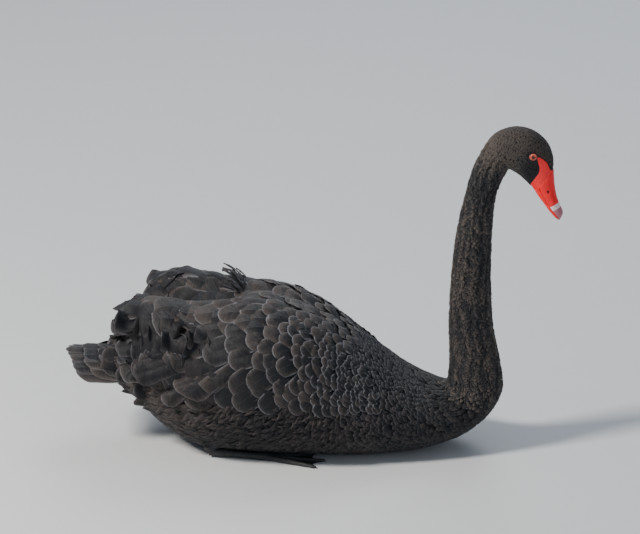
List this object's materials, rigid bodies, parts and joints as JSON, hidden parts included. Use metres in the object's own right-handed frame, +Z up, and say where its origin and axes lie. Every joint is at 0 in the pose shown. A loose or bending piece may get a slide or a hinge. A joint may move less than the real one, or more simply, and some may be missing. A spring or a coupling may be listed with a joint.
{
  "type": "black swan model",
  "caption": "Life-size black swan resting on its belly with raised curved neck, lowered red bill, ruffled wing feathers and feet tucked under.",
  "frame": {"origin": "on the floor, in the middle of the flat under the belly", "axes": "+X towards the bill, +Y towards the bird's left, +Z up"},
  "size_m": [0.7508, 0.2915, 0.5097],
  "materials": {
    "plumage": "soft black body feathers",
    "wing": "black vanes with paler grey rims",
    "bill": "smooth waxy red horn",
    "band": "smooth white horn",
    "nail": "smooth dull pink horn",
    "eye": "glossy red iris with dark pupil",
    "foot": "leathery dark scaled skin"
  },
  "bodies": {
    "root": {"torso": "plumage", "neck_low": "plumage", "neck_middle": "plumage", "neck_top": "plumage", "head": "plumage", "bill_upper": "bill", "bill_band": "band", "bill_nail": "nail", "bill_lower": "bill", "eye_right": "eye", "eye_left": "eye", "wing_right": "wing", "wing_left": "wing", "leg_right": "foot", "leg_left": "foot", "tail": "wing"}
  },
  "joints": []
}
